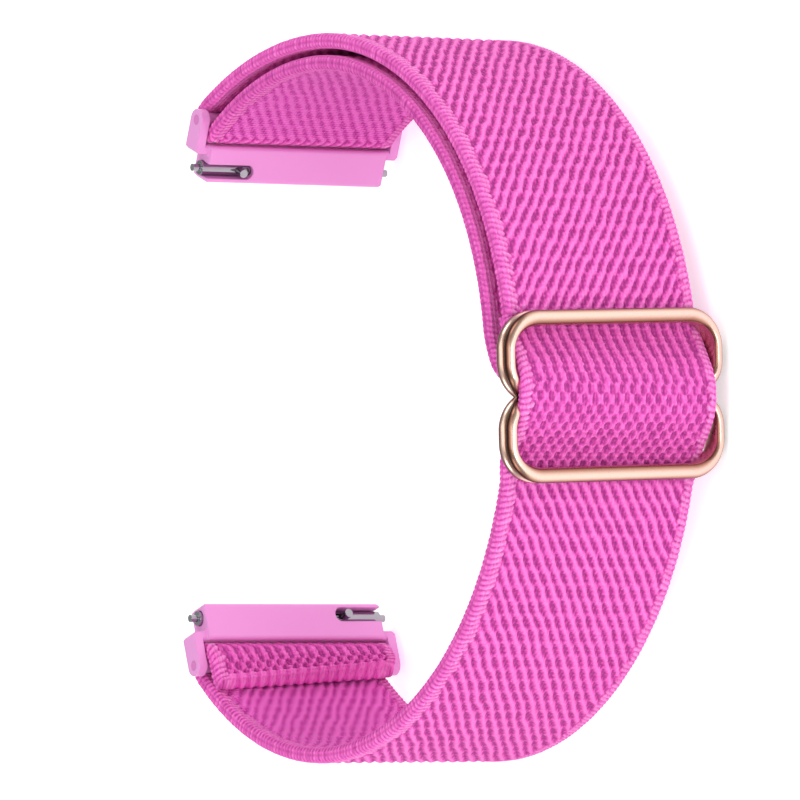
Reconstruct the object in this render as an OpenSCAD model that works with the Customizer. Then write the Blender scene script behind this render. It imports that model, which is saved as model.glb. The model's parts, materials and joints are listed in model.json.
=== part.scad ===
// Elastic nylon loop band for a wrist watch: one long webbing strap, a wire slider
// and two quick-release end connectors. The band stands on its edge, with the axis
// of the loop along Z, the slider at +X and the gap for the watch at -X.

/* [Strap] */
// Width of the webbing
strap_w = 22; // [18:1:24]
// Thickness of the webbing where it lies slack
strap_t = 1.45; // [1.3:0.05:1.9]
// Thickness of the webbing where it is drawn round the middle bar of the slider
drawn_t = 1.05; // [0.8:0.05:1.2]

/* [Loop] */
// Radius of the loop to the outer face of the strap
loop_r = 36.6; // [34:0.2:42]
// Radius of the flatter stretch between the crown and the upper connector
crown_r = 45; // [42:1:56]
// Angle at which the flatter stretch starts
crown_start = 90.2; // [88:0.2:96]
// Angle of the upper strap bar, seen from the centre of the flatter stretch
upper_end = 119.6; // [114:0.2:123]
// Angle of the lower strap bar below the X axis, seen from the loop's centre
lower_end = 127.8; // [120:0.1:130]
// Gap between the two layers of strap at the crown
crown_gap = 0.7; // [0.3:0.05:1]
// Gap between the two layers of strap beside the slider
slider_gap = 2.1; // [1.2:0.05:2.3]
// Length of the folded end of the strap, as an angle of the loop
flap_angle = 6.2; // [5.5:0.1:8]

/* [Slider] */
// Height of the slider along the strap, over its bars
slider_h = 16.8; // [16:0.1:19]
// Radius of the slider's wire-like bars
wire_r = 0.63; // [0.55:0.01:0.68]
// Corner radius of each half of the slider, on the centre line of its wire
corner_r = 3.3; // [3:0.05:3.5]
// Distance between the front and the back ridge of the slider
ridge_step = 1.3; // [1.1:0.05:1.5]
// Space between the edge of the strap and the slider's side
side_gap = 0.44; // [0.4:0.02:0.6]
// Space between the strap and the slider's bars, along the radius
slide_gap = 0.14; // [0.08:0.01:0.25]
// Angle by which the slider sits askew on the strap
slider_skew = 2; // [0:0.5:3]

/* [Connectors] */
// Distance between the watch's lugs that the connectors fit
lug_w = 22; // [20:1:24]
// Space between a lug and the connector, each side
lug_gap = 0.4; // [0.15:0.05:0.5]
// Length of the connector from the strap bar to its edge at the watch
connector_l = 6.3; // [6.2:0.1:8]
// How far the inner face lies from the strap bar's axis
inner_y = 1.5; // [1.35:0.05:1.8]
// How far the outer face lies from the strap bar's axis
outer_y = 1.1; // [1.05:0.05:1.5]
// Thickness of each ear
ear_t = 1; // [0.8:0.05:2]
// Space between the edge of the strap and an ear
ear_gap = 0.2; // [0.15:0.05:0.4]
// Lean of the connectors at rest, from the X axis
connector_lean = 70; // [60:0.5:75]
// Radius of the strap bar where the strap turns round it
strap_bar_r = 0.75; // [0.65:0.05:0.8]
// Radius of the strap bar's ends, pressed into the ears
bar_end_r = 0.5; // [0.4:0.05:0.6]

/* [Spring bars] */
// Outer radius of the spring bar's barrel
barrel_r = 0.75; // [0.7:0.05:0.8]
// Radius of the tips that enter the lugs
tip_r = 0.38; // [0.33:0.01:0.4]
// Length of each tip outside the barrel
tip_l = 0.85; // [0.7:0.05:1.1]
// Travel of the sliding tip
tip_travel = 0.9; // [0.7:0.05:1]
// Radius of the release knob
knob_r = 0.45; // [0.4:0.01:0.5]
// Distance of the release knob from the middle of the spring bar
knob_z = 6.5; // [5:0.1:7]

/* [Hidden] */
$fn = 72;
// Clearance of a pin that turns or slides in its hole
running = 0.05;
// Rounding that lets neighbouring solids meet exactly
function rounded(v) = round(v * 1000) / 1000;
// Clearance of a pin that is pressed in
pressed = 0.01;
// Gap between soft layers that lie on each other
lay_gap = 0.05;

// Strap: where the still stretches end and the ones that feed the slider start
feed_a = 45;
half_w = strap_w / 2;
inner_r = loop_r - strap_t - crown_gap;
wrap_r = strap_bar_r + running + strap_t;
wrap_mid = strap_bar_r + running + strap_t / 2;

// Crown: its centre lies on the radius at which it starts
crown_dir = [cos(crown_start), sin(crown_start)];
crown_c = (loop_r - crown_r) * crown_dir;
upper_pin = crown_c + (crown_r - wrap_r) * [cos(upper_end), sin(upper_end)];
lower_pin = (loop_r - wrap_r) * [cos(lower_end), -sin(lower_end)];

// Inner layer over the crown: an arc tangent to the still arc and to the turn round the bar
return_q = inner_r - strap_t + wrap_r;
return_d = (upper_pin * upper_pin - pow(return_q, 2)) / (2 * (return_q - upper_pin * crown_dir));
return_c = -return_d * crown_dir;
return_a = atan2(upper_pin[1] - return_c[1], upper_pin[0] - return_c[0]);

// Inner layer towards the slider: a tighter arc, tangent to the still one at the crown,
// that leaves the outer layer
seam_y = slider_h / 2 - wire_r;
back_x = rounded(
    sqrt(pow(loop_r + slide_gap + wire_r, 2) - pow(seam_y - half_w * sin(slider_skew), 2))
);
seam_a = atan2(seam_y, back_x);
feed_in = inner_r - strap_t;
near_in = loop_r - 2 * strap_t - slider_gap;
near_p = near_in * [cos(seam_a), sin(seam_a)];
feed_d = (pow(feed_in, 2) - near_p * near_p) / (2 * (feed_in - near_p * crown_dir));
feed_c = feed_d * crown_dir;
feed_end = atan2(near_p[1] - feed_c[1], near_p[0] - feed_c[0]);

// Slider: the middle bar lies in the plane of the back ridge
front_x = back_x + ridge_step;
rail_z = half_w + side_gap + wire_r;
corner_z = rail_z - corner_r;
front_waist = 30;
back_waist = 60;
boss_r = wire_r + 0.22;
bar_seat = 1.2;
web_t = 0.38;
loop_in = wire_r + running;
loop_out = loop_in + drawn_t;
loop_start = 215;
loop_sweep = 205;
loop_half_w = corner_z - lay_gap - running;
crest_r = back_x + loop_out + lay_gap + drawn_t;
bulge = crest_r - loop_r;
bulge_a = seam_a - 0.6;
window_steps = 40;

// Connectors, with the strap bar's axis at the origin, +X towards the watch and
// +Y towards the wrist
lug_half = lug_w / 2 - lug_gap;
ear_in = half_w + ear_gap;
ear_out = ear_in + ear_t;
plate_x = wrap_r + 0.15;
edge_r = 0.4;
edge_cut = 0.3;
bar_x = connector_l - 1.25;
bar_y = 0.2;
lug_x = bar_x - 1.25;
shoulder_x = lug_x - 0.45;
notch_half = 0.75;
notch_end = knob_z - tip_travel - knob_r - running;

// Spring bars, with their own axis along Z
barrel_half = lug_w / 2 - 0.1;
barrel_in = 0.59;
shank_r = 0.24;
slot_half = 0.3;
tip_in = 5;
plug_l = 2.5;
guide_r = barrel_in - running;
spring_in = 0.3;
spring_out = 0.54;
knob_top = inner_y - bar_y + 0.45;

// The part's origin: the middle of its box in X and Y, and its lowest point in Z
lug_reach = (connector_l - edge_r) * cos(connector_lean)
    + (outer_y - edge_r) * sin(connector_lean) + edge_r;
box_mid_x = (crest_r + min(upper_pin[0], lower_pin[0]) - lug_reach) / 2;
skewed_z = corner_z * cos(slider_skew) + (seam_y - corner_r) * sin(slider_skew) + corner_r + wire_r;
box_low_z = max(skewed_z, ear_out);

// Moves from the loop's centre to the part's origin
module placed() {
    translate([-box_mid_x, 0, box_low_z]) children();
}

// Round bar from p to q
module rod(p, q, r) {
    v = q - p;
    translate(p)
        rotate([0, acos(v[2] / norm(v)), atan2(v[1], v[0])])
            cylinder(h = norm(v), r = r);
}

// Section of the strap: flat faces and rounded selvedges, w wide
module strap_section(t, w) {
    translate([0, t / 2 - w / 2]) square([t, w - t]);
    translate([t / 2, t / 2 - w / 2]) circle(r = t / 2);
    translate([t / 2, w / 2 - t / 2]) circle(r = t / 2);
}

// Arc of strap about c, with its outer face at r_out, from angle a0 to a1
module strap_arc(c, r_out, t, a0, a1, w = strap_w) {
    translate([c[0], c[1], 0])
        rotate([0, 0, a0])
            rotate_extrude(angle = a1 - a0)
                translate([r_out - t, 0]) strap_section(t, w);
}

function bezier(p, s) =
    pow(1 - s, 3) * p[0] + 3 * pow(1 - s, 2) * s * p[1]
    + 3 * (1 - s) * s * s * p[2] + pow(s, 3) * p[3];

function bezier_dir(p, s) =
    let (v = 3 * pow(1 - s, 2) * (p[1] - p[0]) + 6 * (1 - s) * s * (p[2] - p[1])
        + 3 * s * s * (p[3] - p[2]))
    v / norm(v);

// Points at one side of a curved strap, side +1 or -1, its thickness going from t0 to t1
function side_points(p, t0, t1, side, s0, s1, n) = [
    for (i = [0:n])
        let (s = s0 + (s1 - s0) * i / n, d = bezier_dir(p, s), t = t0 + (t1 - t0) * s)
            bezier(p, s) + side * t / 2 * [-d[1], d[0]]
];

function reversed(list) = [for (i = [len(list) - 1:-1:0]) list[i]];

// Strap along a curve, from share s0 to s1 of it
module curved_strap(p, t0, t1, s0, s1, w, n) {
    translate([0, 0, -w / 2])
        linear_extrude(height = w)
            polygon(concat(
                side_points(p, t0, t1, 1, s0, s1, n),
                reversed(side_points(p, t0, t1, -1, s0, s1, n))
            ));
}

// Single layer from the slider down to the lower strap bar
module lower_run() {
    color("orchid") strap_arc([0, 0], loop_r, strap_t, -lower_end, -feed_a);
}

module lower_feed() {
    color("orchid") strap_arc([0, 0], loop_r, strap_t, -feed_a, -seam_a);
}

// Turn of the strap round the lower bar, on the side of the watch
module lower_wrap() {
    color("orchid")
        strap_arc(lower_pin, wrap_r, strap_t, 180 - lower_end, 360 - lower_end);
}

// Folded end, from the turn to the inner face of the lower run
flap_start = lower_pin + wrap_mid * [-cos(lower_end), sin(lower_end)];
flap_a = -lower_end + flap_angle;
flap_stop = (loop_r - 1.5 * strap_t - lay_gap) * [cos(flap_a), sin(flap_a)];
flap_curve = [
    flap_start,
    flap_start + flap_angle / 5 * [sin(lower_end), cos(lower_end)],
    flap_stop - flap_angle / 5 * [-sin(flap_a), cos(flap_a)],
    flap_stop
];

module lower_flap() {
    color("orchid") curved_strap(flap_curve, strap_t, strap_t, 0, 1, strap_w, 12);
}

// Outer layer from the top of the slider to the upper strap bar
module outer_run() {
    color("orchid") {
        strap_arc([0, 0], loop_r, strap_t, feed_a, crown_start);
        strap_arc(crown_c, crown_r, strap_t, crown_start, upper_end);
    }
}

module outer_feed() {
    color("orchid") strap_arc([0, 0], loop_r, strap_t, seam_a, feed_a);
}

module upper_wrap() {
    color("orchid") strap_arc(upper_pin, wrap_r, strap_t, upper_end, return_a + 180);
}

// Inner layer that comes back from the upper strap bar
module inner_run() {
    color("orchid") {
        strap_arc(return_c, inner_r + return_d, strap_t, crown_start, return_a);
        strap_arc(feed_c, inner_r - feed_d, strap_t, feed_a, crown_start);
    }
}

module inner_feed() {
    color("orchid") strap_arc(feed_c, inner_r - feed_d, strap_t, feed_end, feed_a);
}

// Strap in the slider's window, humped over the middle bar
function hump(a) = abs(a) < bulge_a ? bulge * (0.5 + 0.5 * cos(180 * a / bulge_a)) : 0;
function hump_t(a) = drawn_t + (strap_t - drawn_t) * pow(a / seam_a, 2);
function hump_slope(a) =
    (hump(a + 0.1) - hump(a - 0.1)) / (0.2 * PI / 180 * (loop_r + hump(a)));

module window_run() {
    angles = [for (i = [-window_steps:window_steps]) seam_a * i / window_steps];
    outer = [for (a = angles) (loop_r + hump(a)) * [cos(a), sin(a)]];
    inner = [
        for (a = angles)
            (loop_r + hump(a) - hump_t(a) * sqrt(1 + pow(hump_slope(a), 2))) * [cos(a), sin(a)]
    ];
    color("orchid")
        translate([0, 0, -half_w])
            linear_extrude(height = strap_w)
                polygon(concat(outer, reversed(inner)));
}

// End of the inner layer, looped on the middle bar
leg_dir = [sin(feed_end), -cos(feed_end)];
leg_start = near_p + strap_t / 2 * [cos(feed_end), sin(feed_end)] + lay_gap * leg_dir;
leg_stop = [back_x, 0] + (loop_in + drawn_t / 2) * [cos(loop_start), sin(loop_start)];
leg_curve = [
    leg_start,
    leg_start + seam_y * 0.4 * leg_dir,
    leg_stop - seam_y * 0.38 * [-sin(loop_start), cos(loop_start)],
    leg_stop
];
leg_wide = 0.78;

module middle_loop() {
    color("orchid") {
        curved_strap(leg_curve, strap_t, drawn_t, 0, leg_wide, strap_w, 14);
        rotate([slider_skew, 0, 0]) {
            curved_strap(leg_curve, strap_t, drawn_t, leg_wide, 1, 2 * loop_half_w, 6);
            strap_arc([back_x, 0], loop_out, drawn_t, loop_start, loop_start + loop_sweep,
                2 * loop_half_w);
        }
    }
}

// Bend of the slider's wire about c in a plane across X, from angle a0 to a1
module wire_bend(c, a0, a1) {
    translate(c)
        rotate([0, -90, 0])
            rotate([0, 0, a0])
                rotate_extrude(angle = a1 - a0)
                    translate([corner_r, 0]) circle(r = wire_r);
}

function waist_point(x, a) =
    [x, rounded(corner_r * (1 - sin(a))), rounded(corner_z + corner_r * cos(a))];

// One quarter of the slider: a corner, a rail and the bend into the waist
module slider_quarter() {
    for (x = [back_x, front_x]) {
        wire_bend([x, seam_y - corner_r, corner_z], 0, 90);
        rod([x, corner_r, rail_z], [x, seam_y - corner_r, rail_z], wire_r);
    }
    wire_bend([back_x, corner_r, corner_z], -back_waist, 0);
    wire_bend([front_x, corner_r, corner_z], -front_waist, 0);
    rod(waist_point(front_x, front_waist), waist_point(back_x, back_waist), 0.9 * wire_r);
    slider_web();
}

// Ridges of the two outer bars
module slider_bars() {
    for (x = [back_x, front_x], y = [-seam_y, seam_y])
        rod([x, y, -corner_z], [x, y, corner_z], wire_r);
    for (y = [-seam_y, seam_y])
        translate([back_x, y - web_t, -corner_z]) cube([ridge_step, 2 * web_t, 2 * corner_z]);
}

// Boss in which an end of the middle bar sits
module bar_boss() {
    translate([back_x, 0, corner_z])
        cylinder(h = corner_r - wire_r, r = boss_r);
}

module bar_bore() {
    translate([back_x, 0, -corner_z - bar_seat])
        cylinder(h = 2 * (corner_z + bar_seat), r = wire_r + pressed);
}

// Thin wall between the two ridges, at the bottom of the groove
module slider_web() {
    translate([back_x, 0, 0]) {
        translate([0, corner_r, rail_z - web_t])
            cube([ridge_step, seam_y - 2 * corner_r, 2 * web_t]);
        web_bend([0, seam_y - corner_r, corner_z], 0, 90);
        web_bend([0, corner_r, corner_z], -front_waist, 0);
    }
}

module web_bend(c, a0, a1) {
    translate(c + [ridge_step, 0, 0])
        rotate([0, -90, 0])
            rotate([0, 0, a0])
                rotate_extrude(angle = a1 - a0)
                    translate([corner_r - web_t, 0]) square([2 * web_t, ridge_step]);
}

module slider_frame() {
    color("rosybrown")
        rotate([slider_skew, 0, 0])
            difference() {
                union() {
                    slider_bars();
                    for (mz = [0, 1])
                        mirror([0, 0, mz]) {
                            bar_boss();
                            for (my = [0, 1])
                                mirror([0, my, 0]) slider_quarter();
                        }
                }
                bar_bore();
            }
}

module slider_middle_bar() {
    color("rosybrown")
        rotate([slider_skew, 0, 0])
            rod([back_x, 0, -corner_z - bar_seat], [back_x, 0, corner_z + bar_seat], wire_r);
}

// Rectangle with round corners, from low to high
module round_rect(low, high, r) {
    translate([low[0] + r, low[1]]) square([high[0] - low[0] - 2 * r, high[1] - low[1]]);
    translate([low[0], low[1] + r]) square([high[0] - low[0], high[1] - low[1] - 2 * r]);
    for (x = [low[0] + r, high[0] - r], y = [low[1] + r, high[1] - r])
        translate([x, y]) circle(r = r);
}

module plate_along_z(half) {
    translate([0, 0, -half]) linear_extrude(height = 2 * half) children();
}

// Plan of one side of the connector, from its ear to its edge at the watch
plan_side = [
    [plate_x, ear_out], [shoulder_x - edge_cut, ear_out], [shoulder_x, ear_out - edge_cut],
    [shoulder_x, lug_half + edge_cut], [lug_x, lug_half],
    [connector_l - edge_cut, lug_half], [connector_l, lug_half - edge_cut]
];

// Plate of the connector: the shoulders beside the ears, and the thicker lug block
module connector_plate() {
    intersection() {
        union() {
            plate_along_z(ear_out)
                round_rect([plate_x, -outer_y], [lug_x + 1, outer_y], edge_r);
            plate_along_z(lug_half)
                round_rect([plate_x, -outer_y], [connector_l, inner_y], edge_r);
        }
        rotate([90, 0, 0])
            linear_extrude(height = 4 * inner_y, center = true)
                polygon(concat(plan_side, reversed([for (q = plan_side) [q[0], -q[1]]])));
    }
}

module ear() {
    translate([0, 0, ear_in])
        linear_extrude(height = ear_t) {
            circle(r = outer_y);
            translate([0, -outer_y]) square([plate_x + edge_r, 2 * outer_y]);
        }
}

// End connector: a block for the lugs, ears for the strap bar, and a channel and a
// notch for the spring bar
module connector() {
    difference() {
        union() {
            connector_plate();
            ear();
            mirror([0, 0, 1]) ear();
        }
        translate([bar_x, bar_y, -ear_out - 1])
            cylinder(h = 2 * ear_out + 2, r = barrel_r + running);
        translate([0, 0, -ear_out - 1])
            cylinder(h = 2 * ear_out + 2, r = bar_end_r + pressed);
        translate([bar_x, bar_y, notch_end + notch_half]) {
            rotate([-90, 0, 0]) cylinder(h = 2 * inner_y, r = notch_half);
            translate([-notch_half, 0, 0]) cube([2 * notch_half, 2 * inner_y, ear_out]);
        }
    }
}

module strap_bar() {
    translate([0, 0, -ear_out]) cylinder(h = 2 * ear_out, r = bar_end_r);
    translate([0, 0, -half_w]) cylinder(h = strap_w, r = strap_bar_r);
}

// Places a connector's pieces at the upper or the lower end of the strap. The lower one
// is the upper one turned half a turn about the X axis.
module at_end(upper) {
    pin = upper ? upper_pin : lower_pin;
    placed()
        translate([pin[0], pin[1], 0])
            rotate([upper ? 0 : 180, 0, 0])
                rotate([0, 0, 180 + connector_lean]) children();
}

module at_bar(upper) {
    at_end(upper) translate([bar_x, bar_y, 0]) children();
}

module barrel() {
    color("silver")
        difference() {
            translate([0, 0, -barrel_half]) cylinder(h = 2 * barrel_half, r = barrel_r);
            translate([0, 0, -barrel_half - 1]) cylinder(h = 2 * barrel_half + 2, r = barrel_in);
            for (z = [knob_z - tip_travel, knob_z])
                translate([0, 0, z]) rotate([-90, 0, 0]) cylinder(h = 2, r = slot_half);
            translate([-slot_half, 0, knob_z - tip_travel]) cube([2 * slot_half, 2, tip_travel]);
        }
}

module fixed_tip() {
    color("gainsboro") {
        translate([0, 0, -barrel_half - tip_l]) cylinder(h = tip_l, r = tip_r);
        translate([0, 0, -barrel_half]) cylinder(h = plug_l, r = barrel_in - pressed);
    }
}

module sliding_tip() {
    color("gainsboro")
        difference() {
            union() {
                translate([0, 0, tip_in]) cylinder(h = barrel_half - tip_in, r = guide_r);
                translate([0, 0, barrel_half]) cylinder(h = tip_l, r = tip_r);
            }
            translate([0, -1, knob_z]) rotate([-90, 0, 0]) cylinder(h = 2, r = shank_r + pressed);
        }
}

module release_knob() {
    color("silver")
        translate([0, 0, knob_z])
            rotate([-90, 0, 0]) {
                translate([0, 0, -tip_r / 2]) cylinder(h = tip_r / 2 + knob_top, r = shank_r);
                translate([0, 0, barrel_r + running])
                    cylinder(h = knob_top - barrel_r - running, r = knob_r);
            }
}

module tip_spring() {
    low = -barrel_half + plug_l + running;
    color("gray")
        translate([0, 0, low])
            difference() {
                cylinder(h = tip_in - running - low, r = spring_out);
                translate([0, 0, -1]) cylinder(h = tip_in - low + 2, r = spring_in);
            }
}

placed() lower_run();
placed() lower_feed();
placed() lower_wrap();
placed() lower_flap();
placed() outer_run();
placed() outer_feed();
placed() upper_wrap();
placed() inner_run();
placed() inner_feed();
placed() window_run();
placed() middle_loop();
placed() slider_frame();
placed() slider_middle_bar();
at_end(true) color("plum") connector();  // upper_connector
at_end(true) color("orchid") strap_bar();  // upper_strap_bar
at_end(false) color("plum") connector();  // lower_connector
at_end(false) color("orchid") strap_bar();  // lower_strap_bar
at_bar(true) barrel();  // upper_barrel
at_bar(true) fixed_tip();  // upper_fixed_tip
at_bar(true) sliding_tip();  // upper_sliding_tip
at_bar(true) release_knob();  // upper_release_knob
at_bar(true) tip_spring();  // upper_tip_spring
at_bar(false) barrel();  // lower_barrel
at_bar(false) fixed_tip();  // lower_fixed_tip
at_bar(false) sliding_tip();  // lower_sliding_tip
at_bar(false) release_knob();  // lower_release_knob
at_bar(false) tip_spring();  // lower_tip_spring
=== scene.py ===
# %% [markdown]
# # An elastic nylon loop band for a watch
#
# The real band is one length of ribbed elastic webbing. It is doubled between the crown of
# the loop and a wire-edged slider, runs on as a single layer below it, and ends at each side
# in a small connector that snaps between the lugs of a watch. All of it could be modelled here
# from nothing, but the CAD model already gives every piece its true size and place. So this
# script keeps the machined solids and makes what they can't show: the woven relief of the
# webbing, the smooth casting of the slider, the wound springs, the finishes, light and camera.

# %% Load the frame
import json
import math
import bpy
import numpy as np
from mathutils import Matrix, Vector


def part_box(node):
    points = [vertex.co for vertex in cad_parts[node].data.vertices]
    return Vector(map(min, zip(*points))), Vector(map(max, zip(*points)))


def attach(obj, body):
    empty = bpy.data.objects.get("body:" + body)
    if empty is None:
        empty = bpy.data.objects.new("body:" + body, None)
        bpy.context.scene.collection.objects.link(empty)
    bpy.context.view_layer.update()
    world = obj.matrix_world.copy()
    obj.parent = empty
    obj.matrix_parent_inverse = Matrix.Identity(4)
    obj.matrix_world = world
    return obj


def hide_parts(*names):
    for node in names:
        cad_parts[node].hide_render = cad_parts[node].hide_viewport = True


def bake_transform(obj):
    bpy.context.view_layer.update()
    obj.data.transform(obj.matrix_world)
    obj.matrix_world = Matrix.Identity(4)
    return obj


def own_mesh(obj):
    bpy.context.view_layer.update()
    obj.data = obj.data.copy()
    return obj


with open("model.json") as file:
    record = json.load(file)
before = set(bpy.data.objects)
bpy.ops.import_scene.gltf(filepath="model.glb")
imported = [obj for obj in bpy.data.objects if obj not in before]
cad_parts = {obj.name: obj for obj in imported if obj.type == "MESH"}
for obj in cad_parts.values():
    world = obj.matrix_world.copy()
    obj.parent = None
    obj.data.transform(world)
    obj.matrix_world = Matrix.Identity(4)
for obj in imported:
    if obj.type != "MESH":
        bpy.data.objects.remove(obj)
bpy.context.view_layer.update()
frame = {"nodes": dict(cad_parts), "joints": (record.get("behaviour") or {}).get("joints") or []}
nodes = frame["nodes"]

# %% [markdown]
# ## Where things are
#
# The band is a set of arcs about one axis, so its sizes are easiest to read in millimetres from
# that axis, at the middle of the webbing's width. The frame works in metres from a point under
# the band. Every size could be turned by hand, but two small functions do it in one place, and
# the joints of the frame say where the axis and the two strap bars are.

# %% Loop coordinates
MM = 0.001


def joint_place(name):
    joint = next(joint for joint in frame["joints"] if joint["name"] == name)
    return np.array(joint["pos_m"])


LOOP = joint_place("slider_travel")


def to_frame(points):
    return LOOP + np.asarray(points) * MM


def to_loop(point):
    return (np.array(point) - LOOP) / MM


upper_pin = to_loop(joint_place("upper_connector_pivot"))[:2]
lower_pin = to_loop(joint_place("lower_connector_pivot"))[:2]
print("upper strap bar at", upper_pin.round(2), "lower strap bar at", lower_pin.round(2))

# %% [markdown]
# ## The route of the strap
#
# A strap is a flat section carried along a curve. The curve could be drawn by hand, but then
# it would leave the bars and the slider a little to one side. Here it is the same chain of
# arcs as in the CAD model, so that every piece of metal meets the webbing where it should:
# two arcs over the crown, a half turn round the strap bar, and two arcs back inside.

# %% Sizes of the strap and its arcs
STRAP_W = 22.0  # width of the webbing
STRAP_T = 1.45  # its thickness
DRAWN_T = 1.05  # its thickness where it is drawn tight over a bar
LOOP_R = 36.6  # outer face of the loop, on the slider's side
CROWN_R = 45.0  # outer face beyond the crown, where the loop is flatter
CROWN_START = 90.2  # degrees from the slider's side to the start of that arc
CROWN_GAP = 0.7  # gap between the two layers at the crown
SLIDER_GAP = 2.1  # gap between the two layers beside the slider
FLAP_ANGLE = 6.2  # degrees of the loop that the stitched fold takes
BAR_R = 0.75  # radius of a strap bar
RUNNING = 0.05  # clearance round a bar
LAY_GAP = 0.05  # clearance between two layers that lie together
WIRE_R = 0.63  # radius of each ridge of the slider
SEAM_Y = 7.77  # middle of the slider's outer bars, above and below its own middle
BACK_X = 36.633  # middle of the slider's back ridge, from the axis
TIE_START = 215.0  # degrees where the webbing comes on to the slider's middle bar
TIE_SWEEP = 205.0  # degrees that it goes round it
TIE_WIDTH = 17.3  # width of the webbing there, where it is drawn together
print("the webbing is", STRAP_W, "by", STRAP_T, "mm")


# %% Outer arcs
def polar(radius, degrees):
    angle = np.radians(degrees)
    return np.stack([radius * np.cos(angle), radius * np.sin(angle)], axis=-1)


def angle_of(vector):
    return math.degrees(math.atan2(vector[1], vector[0]))


wrap_mid = BAR_R + RUNNING + STRAP_T / 2
seam_a = math.degrees(math.atan2(SEAM_Y, BACK_X))
crown_dir = polar(1.0, CROWN_START)
crown_c = (LOOP_R - CROWN_R) * crown_dir
upper_end = angle_of(upper_pin - crown_c)
lower_end = -angle_of(lower_pin)
print("crown ends at", round(upper_end, 2), "lower run ends at", round(lower_end, 2))

# %% [markdown]
# The inner layer has to fit what is already there. One arc passes round the strap bar, another
# past the back of the slider, and both touch the same circle under the crown. Their centres
# could be found by trial, but both lie on the line from the axis to the crown, so a short
# formula gives them exactly.

# %% Inner arcs
inner_r = LOOP_R - STRAP_T - CROWN_GAP


def centre_shift(point, radius):
    """How far an arc's centre moves towards the crown, so that the arc meets a point."""
    return (radius ** 2 - point @ point) / (2 * (radius - point @ crown_dir))


return_shift = centre_shift(upper_pin, inner_r - STRAP_T / 2 + wrap_mid)
return_c = return_shift * crown_dir
return_a = angle_of(upper_pin - return_c)
near_p = polar(LOOP_R - 2 * STRAP_T - SLIDER_GAP, seam_a)
feed_shift = centre_shift(near_p, inner_r - STRAP_T)
feed_c = feed_shift * crown_dir
feed_end = angle_of(near_p - feed_c)
print("inner layer comes round the strap bar at", round(return_a, 2), "ends at", round(feed_end, 2))

# %% [markdown]
# Each stretch is sampled finely as points of the strap's middle line, halfway through its
# thickness. Blender's own curves could carry the section, but they don't say where their
# points fall, and the weave has to be laid out by length along the strap.

# %% Points of a stretch
STEP = 0.05


def arc_points(centre, radius, start, stop):
    count = max(2, int(abs(math.radians(stop - start)) * radius / STEP))
    return np.asarray(centre) + polar(radius, np.linspace(start, stop, count))


def bezier_points(a, b, c, d, count=160):
    s = np.linspace(0, 1, count)[:, None]
    return (1 - s) ** 3 * a + 3 * (1 - s) ** 2 * s * b + 3 * (1 - s) * s * s * c + s ** 3 * d


def ahead_of(line):
    """Unit direction at each point of a line."""
    ahead = np.gradient(line, axis=0)
    return ahead / np.linalg.norm(ahead, axis=1)[:, None]


print("a turn round a strap bar has", len(arc_points(upper_pin, wrap_mid, 0, 360)), "points")

# %% [markdown]
# In the slider's window the webbing rises over the loop that is sewn round the middle bar and
# dives under an outer bar on each side. Cloth simulation could find this hump, but the webbing
# is taut there, so one wave of a cosine has the same form. It is thinnest on the crest.

# %% Hump in the slider's window
HUMP_SHORT = 0.6  # degrees before the outer bar where the hump ends
HUMP_POINTS = 400


def window_points():
    """Middle line of the hump, and its thickness."""
    angles = np.linspace(seam_a, -seam_a, HUMP_POINTS)
    crest = BACK_X + WIRE_R + RUNNING + 2 * DRAWN_T + LAY_GAP
    wave = 0.5 + 0.5 * np.cos(np.pi * np.clip(angles / (seam_a - HUMP_SHORT), -1, 1))
    outer = polar(1.0, angles) * (LOOP_R + (crest - LOOP_R) * wave)[:, None]
    ahead = ahead_of(outer)
    out = np.stack([-ahead[:, 1], ahead[:, 0]], axis=-1)
    thick = DRAWN_T + (STRAP_T - DRAWN_T) * (angles / seam_a) ** 2
    return outer - out * thick[:, None] / 2, thick


hump, hump_thick = window_points()
print("the hump's middle line rises to", round(hump[:, 0].max(), 2), "mm from the axis")

# %% [markdown]
# The stretches are chained and sampled again at even steps, one for each row of the mesh. A
# route also keeps what changes along the strap, such as its width. A change could be cut in
# at once, but then the weave would have a seam there. It is averaged over 2.4 mm instead, as
# real yarns take some way to shift.

# %% Route of a strap
FINE = 0.12  # from one mesh point to the next
MERGE = 2.4
USUAL = {
    "thick": STRAP_T,
    "wide": STRAP_W,
    "sense": 1.0,  # 1 or -1, the way in which the weave is counted
    "pulled": 0.0,  # 1 where the pockets close up, 2 where they also lie staggered
    "calm": 1.0,  # how much relief is left on the side against a bar or a layer
    "nap": 0.0,  # how rubbed the outer side is
    "droop": 0.0,  # how far the two edges sink
}
MERGED = ("wide", "pulled", "calm", "nap")


class Route:
    """Middle line of one strap, with its sizes and the state of its weave."""

    def __init__(self):
        self.line = []
        self.rows = {key: [] for key in USUAL}

    def add(self, points, **given):
        self.line.append(points)
        for key, usual in USUAL.items():
            value = given.get(key, usual)
            self.rows[key].append(np.broadcast_to(value, len(points)).astype(float))

    def sample(self):
        line = np.concatenate(self.line)
        length = np.concatenate([[0], np.cumsum(np.linalg.norm(np.diff(line, axis=0), axis=1))])
        even = np.linspace(0, length[-1], int(length[-1] / FINE) + 1)
        track = {key: np.interp(even, length, np.concatenate(rows))
                 for key, rows in self.rows.items()}
        track["line"] = np.stack([np.interp(even, length, line[:, k]) for k in (0, 1)], axis=-1)
        track["along"] = np.cumsum(np.sign(track["sense"] + 1e-9)) * (even[1] - even[0])
        track["left"] = length[-1] - even
        count = int(MERGE / FINE)
        for key in MERGED:
            padded = np.pad(track[key], count // 2, mode="edge")
            mean = np.convolve(padded, np.full(count, 1 / count), "same")
            track[key] = mean[count // 2:][:len(even)]
        return track


print("a change in the weave takes", int(MERGE / FINE), "rows of the mesh")

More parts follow.
